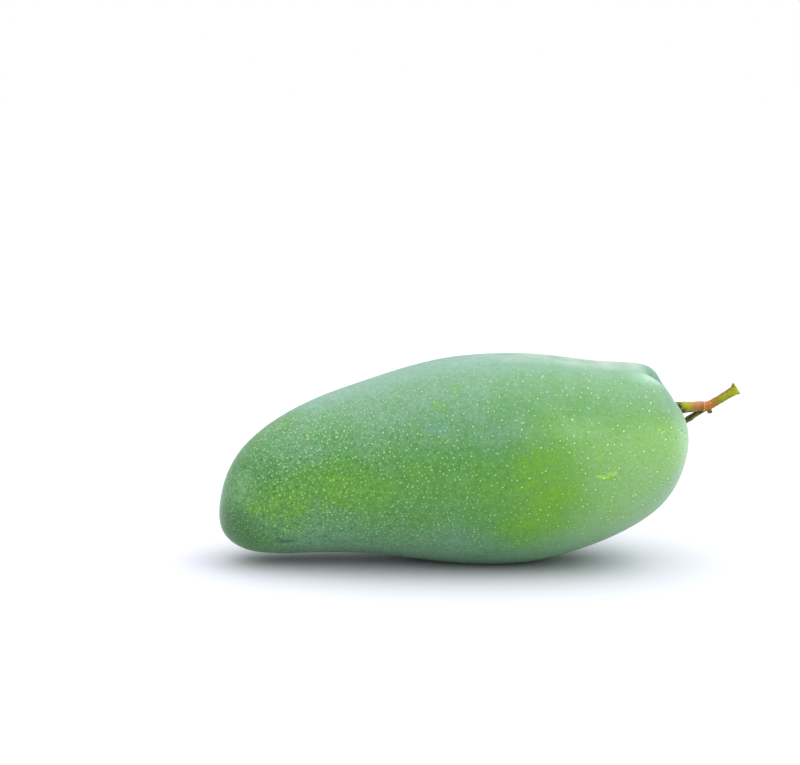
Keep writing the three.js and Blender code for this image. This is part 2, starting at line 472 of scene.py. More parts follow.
lenticelLayout = {
    "along": (0.0, 0.25, 0.5, 0.62, 0.8, 1.0),       # share of the way along the skin
    "spacing": (1.25, 1.45, 1.75, 2.3, 2.9, 3.1),    # from one lenticel to the next, in mm
    "farSideShift": 500,                             # keeps the two sides' patterns apart
}


def ringOf(vertex, around, rings):
    return 0 if vertex == 0 else min((vertex - 1) // around + 1, rings)


def layOutLenticels(mesh, points, around, rings):
    # a map that counts lenticel spacings along the skin and around it, so they crowd towards the tip
    belts = points[1:-1].reshape(rings - 1, around, 3) / mm
    length = np.zeros(rings + 1)
    steps = np.linalg.norm(np.diff(belts[:, around // 4], axis=0), axis=1)
    length[1:-1] = np.cumsum(np.concatenate([[steps[0]], steps]))
    length[-1] = length[-2] + steps[-1]
    girths = np.linalg.norm(np.roll(belts, -1, 1) - belts, axis=2).sum(1)
    radius = np.concatenate([[0.0], girths / (2 * math.pi), [0.0]])
    spacing = np.interp(length / length[-1], lenticelLayout["along"], lenticelLayout["spacing"])
    counted = np.concatenate([[0.0], np.cumsum(np.diff(length) / spacing[1:])])
    fromSides = 2 * math.pi * np.abs(np.arange(around) % (around / 2) / around - 0.25)
    slant = np.abs(np.gradient(radius, length))
    skewed = np.concatenate([[1.0], np.outer(slant[1:-1], fromSides).ravel(), [1.0]])
    addAttribute(mesh, "skewed", skewed)             # where the map shears
    wrap = mesh.uv_layers["OFBake"].data
    layout = mesh.uv_layers.new(name="lenticels")
    for face in mesh.polygons:
        farSide = sum(wrap[corner].uv.x for corner in face.loop_indices) > 0.5 * len(face.loop_indices)
        side, shift = (0.75, lenticelLayout["farSideShift"]) if farSide else (0.25, 0)
        for corner in face.loop_indices:
            ring = ringOf(mesh.loops[corner].vertex_index, around, rings)
            fromSide = 2 * math.pi * (wrap[corner].uv.x - side)
            layout.data[corner].uv = (counted[ring] + shift, fromSide * radius[ring] / spacing[ring])


mangoFruit = makeFruit()

print("skin")
skinLook = {
    "tipGreen": linear("4a8344"),
    "bodyGreen": linear("4d8c3a"),
    "stemEndGreen": linear("88bc63"),
    "rubbedGreen": linear("64a01a"),
    # painted highlight: the pale rim of light along the stalk end's edge
    "paintedRimLight": linear("b4dcb0"),
    "bloom": linear("829fa1"),
    "lenticelGlow": (0.26, 0.35, 0.12, 1.0),      # how much lighter a lenticel is than the skin around it
    "lenticelRing": linear("3d6c34"),
    # painted shade in the furrow's hollow
    "furrow": linear("6a947d"),
    # painted highlight on the furrow's near crest
    "rim": linear("a9cdb9"),
    # painted highlight: a pale band of light along the top ridge
    "paintedTopHighlight": linear("d8dbd9"),
    "seatStain": linear("7d7a3c"),
    "seatStainRadius": 5.0,
    "seatStainStrength": 0.8,
    "speck": linear("3a5230"),
    "speckSpacing": 1.9,
    "speckGaps": 0.5,                             # share of the places for a speck that stay empty
    "speckCore": 0.1,                             # radius of a speck's darkest middle
    "speckStrength": 0.75,
    "marks": (         # centre, radii, colour and strength of small blemishes, and of the painted shade under the tip
        ((-67.0, -17.0, 10.6), (5.6, 4.0, 1.5), "2f5f45", 0.95),
        ((-63.0, -17.0, 7.0), (9.0, 4.0, 1.5), "8fb2ab", 0.8),
        ((-58.2, -18.1, 46.8), (0.8, 1.5, 0.6), "9c8350", 0.8),
        ((-14.4, -26.8, 51.7), (6.0, 5.0, 3.4), "5f9380", 0.5),
        ((39.2, -29.3, 36.0), (3.2, 3.0, 0.9), "aede4c", 0.8),
        ((42.4, -28.8, 37.0), (2.6, 3.0, 1.1), "aad764", 0.7),
        ((38.1, -29.3, 42.6), (1.6, 2.0, 1.1), "93b33c", 0.8),
        ((60.4, -23.4, 50.5), (1.4, 2.0, 1.1), "a5b850", 0.8),
        ((66.2, -19.0, 49.6), (0.7, 1.0, 0.6), "354d30", 0.95),
        ((67.8, -17.6, 48.2), (0.6, 1.0, 0.7), "354d30", 0.95),
        ((68.4, -17.0, 46.1), (0.5, 1.0, 0.5), "46603f", 0.9),
        ((64.4, -20.6, 47.4), (0.7, 1.2, 0.4), "46603f", 0.9),
        # painted shade: the tip's underside made darker and deeper green
        ((-82.0, -12.0, 15.0), (15.0, 12.0, 12.0), "32662f", 0.9),
        ((-79.5, -14.0, 28.0), (9.0, 9.0, 8.0), "80b07c", 0.35),
        ((31.0, -27.9, 51.2), (12.0, 6.0, 6.0), "9cca92", 0.25),
    ),
    "rubbed": (        # centre, radii and strength of the places where the bloom is worn off
        ((-46.0, -25.0, 32.0), (32.0, 20.0, 12.0), 0.55),
        ((-66.0, -21.0, 24.0), (22.0, 20.0, 13.0), 0.6),
        ((-20.0, -27.0, 34.0), (24.0, 20.0, 16.0), 0.25),
        ((20.0, -30.0, 31.0), (20.0, 22.0, 25.0), 1.0),
        ((17.5, -29.0, 44.0), (11.0, 20.0, 12.0), 0.45),
        ((14.0, -27.0, 18.5), (18.0, 20.0, 17.0), 0.75),
        ((2.0, -29.0, 32.0), (22.0, 20.0, 16.0), 0.4),
        ((22.0, -26.0, 49.0), (18.0, 20.0, 14.0), 0.4),
        ((-8.3, -19.5, 63.3), (3.4, 5.0, 2.6), 0.7),
        ((-14.4, -22.2, 59.3), (4.0, 5.0, 2.8), 0.7),
        ((41.0, -29.0, 36.8), (5.0, 5.0, 1.5), 0.9),
        ((30.0, 27.0, 36.0), (26.0, 20.0, 24.0), 0.6),
        ((-42.0, 25.0, 36.0), (38.0, 20.0, 19.0), 0.55),
        ((-8.0, 30.0, 20.0), (27.0, 20.0, 17.0), 0.45),
    ),
    "dusty": (         # centre, radii and strength of the places where the bloom is thick
        ((-57.0, -20.0, 19.0), (27.0, 20.0, 12.0), 0.15),
        ((-57.0, -20.0, 41.0), (20.0, 20.0, 9.0), 0.15),
        ((13.0, -28.0, 50.0), (22.0, 20.0, 9.0), 0.2),
        ((58.0, -20.0, 30.0), (20.0, 20.0, 17.0), 0.12),
        ((66.0, -12.0, 57.0), (22.0, 18.0, 16.0), 0.4),
        ((-9.0, -22.0, 16.0), (15.0, 20.0, 10.0), 0.12),
        ((20.0, 26.0, 15.0), (30.0, 20.0, 12.0), 0.2),
        ((-55.0, 20.0, 20.0), (24.0, 20.0, 12.0), 0.2),
    ),
    "grains": {        # size, detail, roughness and seed of each noise
        "wide": (26.0, 2.0, 0.5, 1.0),
        "middling": (7.0, 3.0, 0.55, 2.0),
        "fine": (1.7, 3.0, 0.65, 3.0),
        "finest": (0.8, 2.0, 0.6, 7.0),
        "streaks": (1.6, 3.0, 0.55, 4.0),
        "wander": (9.0, 3.0, 0.6, 5.0),
        "jitter": (0.7, 1.0, 0.5, 6.0),
    },
    "streakShape": (1.0, 0.14, 0.14),
    "patchWander": 16.0,                          # how far the edges of large patches stray
    "markWander": 2.5,
    "markEdge": 0.3,
    "rubbedGrain": 1.3,                           # how strongly each noise shows in each layer
    "paleDrift": 0.1,
    "backWide": 0.6,
    "backMiddling": 0.8,
    "bloomStreaks": 0.2,
    "bloomGrain": 0.55,
    "bloomLost": 0.35,                            # how much bloom is gone where the skin is rubbed
    "grainFine": 0.5,
    "grainFinest": 0.9,
    "lenticelJitter": 0.22,
    "lenticelShare": 0.94,                        # share of the places for a lenticel that hold one
    "looseSpacing": 1.9,                          # tiny extra dots between the lenticels
    "looseGlow": 0.6,
    "endSpacing": 2.1,                            # dots at both ends, where the map shears
    "reliefFine": 0.03,
    "reliefMiddling": 0.06,
    "reliefDots": 0.02,
    "hollowDullness": 0.2,
    "refraction": 1.45,
    "sheen": 0.1,
    "sheenRoughness": 0.4,
    "ramps": {         # where each one starts and ends, and its values there if they aren't 0 and 1
        # along the fruit, 0 at the tip and 1 at the other end
        "girthByTip": (0.0, 0.22, 0.25, 1.0),
        "tipToBody": (0.0, 0.3),
        "bodyToStalk": (0.55, 0.95),
        "paintedRimLightAlong": (0.93, 1.0, 0.0, 0.45),
        "bloomThinByStalk": (0.4, 0.8, 0.0, 0.33),
        "bloomThinByTip": (0.45, 0.1, 0.0, 0.3),
        "paintedTopHighlightAlong": (0.45, 0.75),
        "grainByTip": (0.12, 0.5, 1.9, 1.0),
        "grainByStalk": (0.5, 0.75, 1.0, 0.6),
        "specksAlong": (0.88, 0.97),
        "spacingByTip": (0.05, 0.4, 1.3, 1.7),
        "spacingByStalk": (0.35, 0.8, 0.0, 1.2),
        "radiusAlong": (0.1, 0.8, 0.85, 1.1),
        "faintestAlong": (0.2, 0.7, 0.5, 0.3),
        "glowAlong": (0.0, 0.2, 0.55, 1.15),
        "ringsAlong": (0.55, 0.85, 0.2, 0.14),
        # around it, 1 along the back, 0 at the sides and -1 along the belly
        "paleOnBack": (0.2, 0.8, 1.0, 0.75),
        "bloomOnBack": (0.0, 0.95, 0.08, 0.42),
        # partly thick bloom, partly a painted highlight along the top ridge
        "bloomAndPaintedHighlightOnTop": (0.84, 1.0, 0.0, 0.24),
        "bloomBeneath": (-0.35, -0.9, 0.0, 0.3),
        "paintedTopHighlightAcross": (0.94, 1.0),
        "grainOnBack": (0.3, 0.9, 1.0, 0.55),
        # height above the table
        "paleUp": (46.0, 62.0, 1.0, 0.25),
        "paintedRimLightUp": (60.0, 48.0),
        "specksLowest": (36.0, 47.0),
        "specksHighest": (64.0, 53.0),
        # noise
        "rubbedMottle": (0.25, 0.75, 0.5, 1.25),
        "groundMottle": (0.55, 0.75, 0.0, 0.3),
        "paintedTopHighlightMottle": (0.25, 0.6, 0.1, 0.32),
        "paintedHollowShadeMottle": (0.3, 0.6, 0.45, 0.9),
        "paintedCrestHighlightMottle": (0.25, 0.6, 0.4, 0.85),
        "stainMottle": (0.3, 0.6, 0.5, 1.0),
        "markMottle": (0.3, 0.55, 0.4, 1.0),
        # a cell's dice
        "speckRadius": (0.0, 1.0, 0.25, 0.6),
        "lenticelRadius": (0.0, 1.0, 0.25, 0.46),
        "endGlow": (-0.3, 1.0),
        # distance from a cell's middle: in lenticel radii, then in mm
        "dotEdge": (1.1, 0.3),
        "ringEdge": (2.4, 1.2),
        "looseEdge": (0.32, 0.1),
        "endEdge": (0.5, 0.15),
        # how sheared the map is, and how thick the bloom is
        "shear": (0.35, 0.7),
        "veil": (0.2, 0.55, 1.0, 0.3),
        "dullness": (0.0, 0.8, 0.40, 0.55),
    },
}


class Skin(Recipe):
    def __init__(self):
        super().__init__("mangoSkin", skinLook["bodyGreen"], skinLook["ramps"])
        low, high = (Vector(corner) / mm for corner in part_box("fruit"))
        self.along = self.calc("DIVIDE", self.calc("SUBTRACT", self.x, low.x), high.x - low.x)
        self.girth = self.times(self.attribute("girth"), self.ramp(self.along, "girthByTip"))
        self.wide = self.noise("wide", self.place)[0]
        self.middling = self.noise("middling", self.place)[0]
        self.fine = self.noise("fine", self.place)[0]
        self.finest = self.noise("finest", self.place)[0]
        self.streaks = self.noise("streaks", self.stretch(self.place, skinLook["streakShape"]))[0]
        wander = self.shake("wander")
        self.strayed = self.vector("ADD", self.place, self.stretch(wander, (skinLook["patchWander"],) * 3))
        self.crumbled = self.vector("ADD", self.place, self.stretch(wander, (skinLook["markWander"],) * 3))

    def noise(self, name, place):
        return self.grain(place, *skinLook["grains"][name])

    def shake(self, name):  # a random shift, 0 on average
        return self.vector("SUBTRACT", self.noise(name, self.place)[1], (0.5, 0.5, 0.5))

    def patch(self, centre, radii, strength):
        return self.times(self.spot(self.strayed, centre, radii, 0.0), strength)


def findRubbed(skin):
    rubbed = 0.0
    for patch in skinLook["rubbed"]:
        rubbed = skin.calc("MAXIMUM", rubbed, skin.patch(*patch))
    mottle = skin.sum(skin.middling, skin.swing(skin.fine, skinLook["rubbedGrain"]))
    return skin.times(rubbed, skin.ramp(mottle, "rubbedMottle"))


def paintGround(skin, rubbed):  # the greens under the bloom, and a painted rim highlight along the stalk end's edge
    ground = skin.mix(skin.ramp(skin.along, "tipToBody"), skinLook["tipGreen"], skinLook["bodyGreen"])
    drift = skin.swing(skin.wide, skinLook["paleDrift"])
    drift = skin.sum(drift, skin.swing(skin.middling, skinLook["paleDrift"]))
    pale = skin.ramp(skin.sum(skin.along, drift), "bodyToStalk")
    pale = skin.times(pale, skin.ramp(skin.girth, "paleOnBack"), skin.ramp(skin.z, "paleUp"))
    ground = skin.mix(pale, ground, skinLook["stemEndGreen"])
    # painted highlight: the stalk end's lower edge made paler, as if rimmed by light
    rimLightShare = skin.times(skin.ramp(skin.along, "paintedRimLightAlong"), skin.ramp(skin.z, "paintedRimLightUp"))
    ground = skin.mix(rimLightShare, ground, skinLook["paintedRimLight"])
    ground = skin.mix(skin.ramp(skin.middling, "groundMottle"), ground, skinLook["rubbedGreen"])
    return skin.mix(rubbed, ground, skinLook["rubbedGreen"])


def findHaze(skin, rubbed):  # waxy bloom: thick on the back, thin on the sides, and worn off in places; along the top ridge it also holds a painted highlight
    uneven = skin.swing(skin.wide, skinLook["backWide"])
    uneven = skin.sum(uneven, skin.swing(skin.middling, skinLook["backMiddling"]))
    back = skin.sum(skin.girth, uneven)
    back = skin.calc("SUBTRACT", back, skin.ramp(skin.along, "bloomThinByStalk"))
    back = skin.calc("SUBTRACT", back, skin.ramp(skin.along, "bloomThinByTip"))
    # haze along the top ridge: thick bloom and a painted highlight
    haze = skin.sum(skin.ramp(back, "bloomOnBack"), skin.ramp(skin.girth, "bloomAndPaintedHighlightOnTop"))
    haze = skin.sum(haze, skin.ramp(skin.girth, "bloomBeneath"))
    haze = skin.sum(haze, skin.swing(skin.streaks, skinLook["bloomStreaks"]))
    haze = skin.sum(haze, skin.swing(skin.fine, skinLook["bloomGrain"]))
    for patch in skinLook["dusty"]:
        haze = skin.sum(haze, skin.patch(*patch))
    return skin.calc("SUBTRACT", haze, skin.times(rubbed, skinLook["bloomLost"]), clamp=True)


def paintShoulders(skin, colour):  # painted highlights on the top ridge and on the furrow's near crest, painted shade in the furrow's hollow, then the grain
    # painted highlight along the top ridge, towards the stalk end
    paintedTopHighlight = skin.times(skin.ramp(skin.girth, "paintedTopHighlightAcross"), skin.ramp(skin.along, "paintedTopHighlightAlong"),
                       skin.ramp(skin.middling, "paintedTopHighlightMottle"))
    colour = skin.mix(paintedTopHighlight, colour, skinLook["paintedTopHighlight"])
    # painted shade: the furrow's hollow made darker
    hollow = skin.times(skin.attribute("hollow"), skin.ramp(skin.middling, "paintedHollowShadeMottle"))
    colour = skin.mix(hollow, colour, skinLook["furrow"])
    # painted highlight along the furrow's near crest
    paintedCrestHighlight = skin.times(skin.attribute("paintedCrestHighlight"), skin.ramp(skin.middling, "paintedCrestHighlightMottle"))
    colour = skin.mix(paintedCrestHighlight, colour, skinLook["rim"])
    grainy = skin.times(skin.ramp(skin.along, "grainByTip"), skin.ramp(skin.along, "grainByStalk"),
                        skin.ramp(skin.girth, "grainOnBack"))
    grainy = skin.calc("MAXIMUM", grainy, hollow)
    grain = skin.swing(skin.fine, skinLook["grainFine"])
    grain = skin.sum(grain, skin.swing(skin.finest, skinLook["grainFinest"]))
    return skin.dim(colour, skin.sum(1.0, skin.times(grainy, grain))), hollow


def paintMarks(skin, colour, seat):  # the stain where the stalk sits, blemishes, dark specks, and painted shade under the tip
    edge = skinLook["markEdge"]
    stain = skin.spot(skin.crumbled, seat, (skinLook["seatStainRadius"],) * 3, edge)
    stain = skin.times(stain, skin.ramp(skin.fine, "stainMottle"))
    colour = skin.mix(skin.times(stain, skinLook["seatStainStrength"]), colour, skinLook["seatStain"])
    for centre, radii, code, strength in skinLook["marks"]:
        mark = skin.spot(skin.crumbled, centre, radii, edge)
        mark = skin.times(mark, strength, skin.ramp(skin.fine, "markMottle"))
        colour = skin.mix(mark, colour, linear(code))
    distance, (dice, sizeDice, _) = skin.cells(skin.crumbled, skinLook["speckSpacing"])
    specks = skin.rise(distance, skin.ramp(sizeDice, "speckRadius"), skinLook["speckCore"])
    specks = skin.times(specks, skin.calc("GREATER_THAN", dice, skinLook["speckGaps"]),
                        skin.ramp(skin.along, "specksAlong"), skin.ramp(skin.z, "specksLowest"),
                        skin.ramp(skin.z, "specksHighest"))
    return skin.mix(skin.times(specks, skinLook["speckStrength"]), colour, skinLook["speck"])


def findLenticels(skin):  # small and crowded at the tip, larger and sparse by the stalk
    spacing = skin.sum(skin.ramp(skin.along, "spacingByTip"), skin.ramp(skin.along, "spacingByStalk"))
    jitter = skin.stretch(skin.shake("jitter"), (skinLook["lenticelJitter"], skinLook["lenticelJitter"], 0.0))
    shaken = skin.vector("ADD", skin.map("lenticels"), jitter)
    distance, (chance, sizeDice, glowDice) = skin.cells(shaken, 1.0, flat=True)
    distance = skin.times(distance, spacing)
    radius = skin.times(skin.ramp(sizeDice, "lenticelRadius"), skin.ramp(skin.along, "radiusAlong"))
    kept = skin.calc("LESS_THAN", chance, skinLook["lenticelShare"])
    varied = skin.rise(glowDice, 0.0, 1.0, skin.ramp(skin.along, "faintestAlong"), 1.0)
    glow = skin.times(kept, varied, skin.ramp(skin.along, "glowAlong"))
    share = skin.calc("DIVIDE", distance, radius)
    dots = skin.times(glow, skin.ramp(share, "dotEdge"))
    rings = skin.times(glow, skin.ramp(share, "ringEdge"))

    looseDistance, (looseDice, _, _) = skin.cells(skin.place, skinLook["looseSpacing"])
    loose = skin.times(skin.ramp(looseDistance, "looseEdge"), looseDice, skinLook["looseGlow"])
    sheared = skin.ramp(skin.attribute("skewed"), "shear")
    endDistance, (endDice, _, _) = skin.cells(skin.place, skinLook["endSpacing"])
    atEnds = skin.times(skin.ramp(endDistance, "endEdge"), skin.ramp(endDice, "endGlow"), sheared)
    dots = skin.times(dots, skin.calc("SUBTRACT", 1.0, sheared))
    dots = skin.calc("MAXIMUM", skin.calc("MAXIMUM", dots, atEnds), loose)
    return dots, skin.times(rings, skin.calc("SUBTRACT", 1.0, sheared))


def makeSkin(fruit):
    skin = Skin()
    rubbed = findRubbed(skin)
    haze = findHaze(skin, rubbed)
    colour = skin.mix(haze, paintGround(skin, rubbed), skinLook["bloom"])
    colour, hollow = paintShoulders(skin, colour)
    colour = paintMarks(skin, colour, tuple(fruit.data.vertices[-1].co / mm))
    dots, rings = findLenticels(skin)
    veil = skin.ramp(haze, "veil")
    rings = skin.times(rings, veil, skin.ramp(skin.along, "ringsAlong"))
    colour = skin.mix(rings, colour, skinLook["lenticelRing"])
    colour = skin.mix(skin.times(dots, veil), colour, skinLook["lenticelGlow"], blend="ADD")

    skin.feed(skin.shader.inputs["Base Color"], colour)
    dull = skin.sum(skin.ramp(haze, "dullness"), skin.times(hollow, skinLook["hollowDullness"]))
    skin.feed(skin.shader.inputs["Roughness"], dull)
    skin.shader.inputs["IOR"].default_value = skinLook["refraction"]
    skin.shader.inputs["Sheen Weight"].default_value = skinLook["sheen"]
    skin.shader.inputs["Sheen Roughness"].default_value = skinLook["sheenRoughness"]
    relief = skin.times(skin.fine, skinLook["reliefFine"])
    relief = skin.sum(relief, skin.times(skin.middling, skinLook["reliefMiddling"]))
    skin.emboss(skin.sum(relief, skin.times(dots, skinLook["reliefDots"])))
    skin.finish(fruit)


makeSkin(mangoFruit)
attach(mangoFruit, "root")
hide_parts("fruit")

print("stalk")
stalkForm = {
    "rods": {          # each one's middle line, then share along it and radius; all in mm
        "stalk": (
            ((62.0, -1.4, 50.6), (64.6, -1.4, 52.6), (67.4, -1.3, 53.6), (71.0, -1.1, 53.9),
             (74.8, -0.8, 54.0), (77.4, -0.4, 54.1), (79.6, -0.1, 54.85), (82.2, 0.1, 56.4),
             (85.0, 0.2, 58.1), (88.0, 0.2, 59.95)),
            ((0.00, 2.70), (0.11, 2.60), (0.20, 2.20), (0.28, 1.98), (0.37, 1.84),
             (0.46, 1.72), (0.50, 1.78), (0.54, 1.66), (0.62, 1.54), (0.72, 1.46),
             (0.82, 1.42), (0.90, 1.52), (0.96, 1.80), (1.00, 2.10)),
        ),
        "stub": (
            ((77.9, -0.4, 54.0), (78.4, -0.5, 52.9), (78.9, -0.6, 51.75)),
            ((0.00, 0.90), (0.60, 0.82), (1.00, 0.88)),
        ),
        "twig": (
            ((75.9, -0.5, 53.4), (74.9, 0.9, 51.7), (72.8, 3.6, 49.2), (70.9, 6.2, 47.2), (70.4, 7.4, 46.2)),
            ((0.00, 1.50), (0.20, 1.12), (0.60, 1.02), (0.85, 0.98), (1.00, 1.04)),
        ),
    },
    "ringsPerMm": 6,
    "around": 48,
    "ribs": 7,                        # lengthwise ribs in the bark, and their height
    "ribHeight": 0.03,
    "ribTwist": 5,
    "knobs": ((2.6, 0.22), (1.0, 0.10), (0.45, 0.05)),      # size and height of the bark's bumps
    "knobSeed": 9.0,
    "raggedness": ((0.9, 0.35),),     # size and height of the torn ends' unevenness
    "raggedSeed": 5.0,
    "hollow": 0.25,                   # how deep the torn ends are sunk
    "lip": 0.45,                      # how far the outer end's upper corner stands out
    "lipAlong": (0.94, 1.0),
    "lidSteps": (0.0, 0.25, 0.5, 0.75),
    "tornAlong": (0.97, 0.99),        # where bark turns into torn wood: along the rod, and by how much
    "tornFacing": (0.5, 0.8),         # the surface faces along it
    "grid": 0.12,                     # fineness of the joined mesh, and how it is eased
    "easing": 0.5,
    "easingRounds": 3,
    "scarX": 76.6,                    # a thin raised ring
    "scarHeight": 0.10,
    "scarWidth": 0.20,
}


def throughPoints(points, count):  # a smooth line through the points, in even steps
    points = np.array(points)
    padded = np.vstack([2 * points[0] - points[1], points, 2 * points[-1] - points[-2]])
    t = np.linspace(0, 1, 40, endpoint=False)[:, None]
    pieces = []
    for before, start, end, after in zip(padded, padded[1:], padded[2:], padded[3:]):
        square = (2 * before - 5 * start + 4 * end - after) * t ** 2
        cube = (3 * start - before - 3 * end + after) * t ** 3
        pieces.append(start + ((end - before) * t + (square + cube)) / 2)
    line = np.vstack([*pieces, points[-1:]])
    walked = np.concatenate([[0], np.cumsum(np.linalg.norm(np.diff(line, axis=0), axis=1))])
    even = np.linspace(0, walked[-1], count)
    return np.stack([np.interp(even, walked, column) for column in line.T], 1)


class Rod:  # a middle line with its directions and radius
    def __init__(self, route, profile):
        rough = throughPoints(route, 200)
        length = np.linalg.norm(np.diff(rough, axis=0), axis=1).sum()
        self.line = throughPoints(route, int(length * stalkForm["ringsPerMm"]))
        self.share = np.linspace(0, 1, len(self.line))
        shares, radii = throughPoints(profile, 200).T
        self.radius = np.interp(self.share, shares, radii)
        self.ahead = np.gradient(self.line, axis=0)
        self.ahead /= np.linalg.norm(self.ahead, axis=1)[:, None]
        self.up = np.cross(self.ahead, (0.0, 1.0, 0.0))
        self.up *= (np.sign(self.up[:, 2]) / np.linalg.norm(self.up, axis=1))[:, None]
        self.across = np.cross(self.up, self.ahead)

    def surface(self, seed, lip, scar):
        turn = np.linspace(0, 2 * math.pi, stalkForm["around"], endpoint=False)
        outward = self.up[:, None] * np.cos(turn)[:, None] + self.across[:, None] * np.sin(turn)[:, None]
        ribs = np.cos(stalkForm["ribs"] * turn + stalkForm["ribTwist"] * self.share[:, None])
        radius = self.radius[:, None] + stalkForm["ribHeight"] * ribs
        atLip = smoothStep(self.share, *stalkForm["lipAlong"])[:, None]
        radius = radius + lip * atLip * np.maximum(np.cos(turn), 0) ** 3
        ring = np.exp(-((self.line[:, 0] - stalkForm["scarX"]) / stalkForm["scarWidth"]) ** 2)
        radius = radius + scar * ring[:, None]
        points = self.line[:, None] + outward * radius[:, :, None]
        middle = self.line[-1] - self.ahead[-1] * stalkForm["hollow"]
        rim = points[-1]
        ragged = unevenness(rim, stalkForm["raggedness"], seed)
        rim = rim + self.ahead[-1] * ragged[:, None]
        lid = [rim + (middle - rim) * share for share in stalkForm["lidSteps"]]
        return np.vstack([points[:-1].reshape(-1, 3), *lid, self.line[:1], middle[None]])


def closestOn(rod, points):  # nearest ring, distance from its middle in radii, and offset from the middle
    gaps = np.linalg.norm(points[:, None] - rod.line[None], axis=2)
    nearest = gaps.argmin(1)
    offset = points - rod.line[nearest]
    return nearest, gaps.min(1) / rod.radius[nearest], offset


def makeStalk():
    rods = {name: Rod(*form) for name, form in stalkForm["rods"].items()}
    points, faces = np.zeros((0, 3)), []
    for order, (name, rod) in enumerate(rods.items()):
        isStalk = name == "stalk"
        seed = stalkForm["raggedSeed"] + order
        surface = rod.surface(seed, stalkForm["lip"] * isStalk, stalkForm["scarHeight"] * isStalk)
        rows = (len(surface) - 2) // stalkForm["around"]
        first, last = len(points), len(points) + len(surface)
        faces += netFaces(rows, stalkForm["around"], first, last - 2, last - 1)
        points = np.vstack([points, surface])
    rough = bpy.data.meshes.new("mangoStalkRough")
    rough.from_pydata((points * mm).tolist(), [], faces)
    stalk = addObject("mangoStalk", rough)
    joined = stalk.modifiers.new("joined", "REMESH")
    joined.mode = "VOXEL"
    joined.voxel_size = stalkForm["grid"] * mm
    eased = stalk.modifiers.new("eased", "SMOOTH")
    eased.factor = stalkForm["easing"]
    eased.iterations = stalkForm["easingRounds"]
    ready = stalk.evaluated_get(bpy.context.evaluated_depsgraph_get())
    mesh = bpy.data.meshes.new_from_object(ready)
    mesh.name = "mangoStalk"
    stalk.modifiers.clear()
    stalk.data = mesh
    bpy.data.meshes.remove(rough)

    places = np.zeros(len(mesh.vertices) * 3)
    mesh.vertices.foreach_get("co", places)
    normals = np.zeros(len(mesh.vertices) * 3)
    mesh.vertices.foreach_get("normal", normals)
    places, normals = places.reshape(-1, 3) / mm, normals.reshape(-1, 3)
    places += normals * unevenness(places, stalkForm["knobs"], stalkForm["knobSeed"])[:, None]
    mesh.vertices.foreach_set("co", (places * mm).ravel())

    found = [closestOn(rod, places) for rod in rods.values()]
    owner = np.argmin([reach for nearest, reach, offset in found], axis=0)
    lift, torn = np.zeros((2, len(places)))
    for order, (rod, (nearest, reach, offset)) in enumerate(zip(rods.values(), found)):
        own = owner == order
        lift[own] = ((offset * rod.up[nearest]).sum(1) / rod.radius[nearest])[own]
        facing = smoothStep((normals * rod.ahead[-1]).sum(1), *stalkForm["tornFacing"])
        torn[own] = (smoothStep(rod.share[nearest], *stalkForm["tornAlong"]) * facing)[own]
    reach = np.min([reach for nearest, reach, offset in found], axis=0)
    rodNames = list(rods)
    values = {
        "lift": lift,                 # 1 on top of the rod, -1 underneath
        "torn": torn,
        "reach": reach,               # distance from the middle line, in radii
        "onTwig": owner == rodNames.index("twig"),
        "onStub": owner == rodNames.index("stub"),
    }
    for name, value in values.items():
        addAttribute(mesh, name, value.astype(float))
    mesh.shade_smooth()
    print("stalk triangles", 2 * len(mesh.polygons))
    return stalk


mangoStalk = makeStalk()

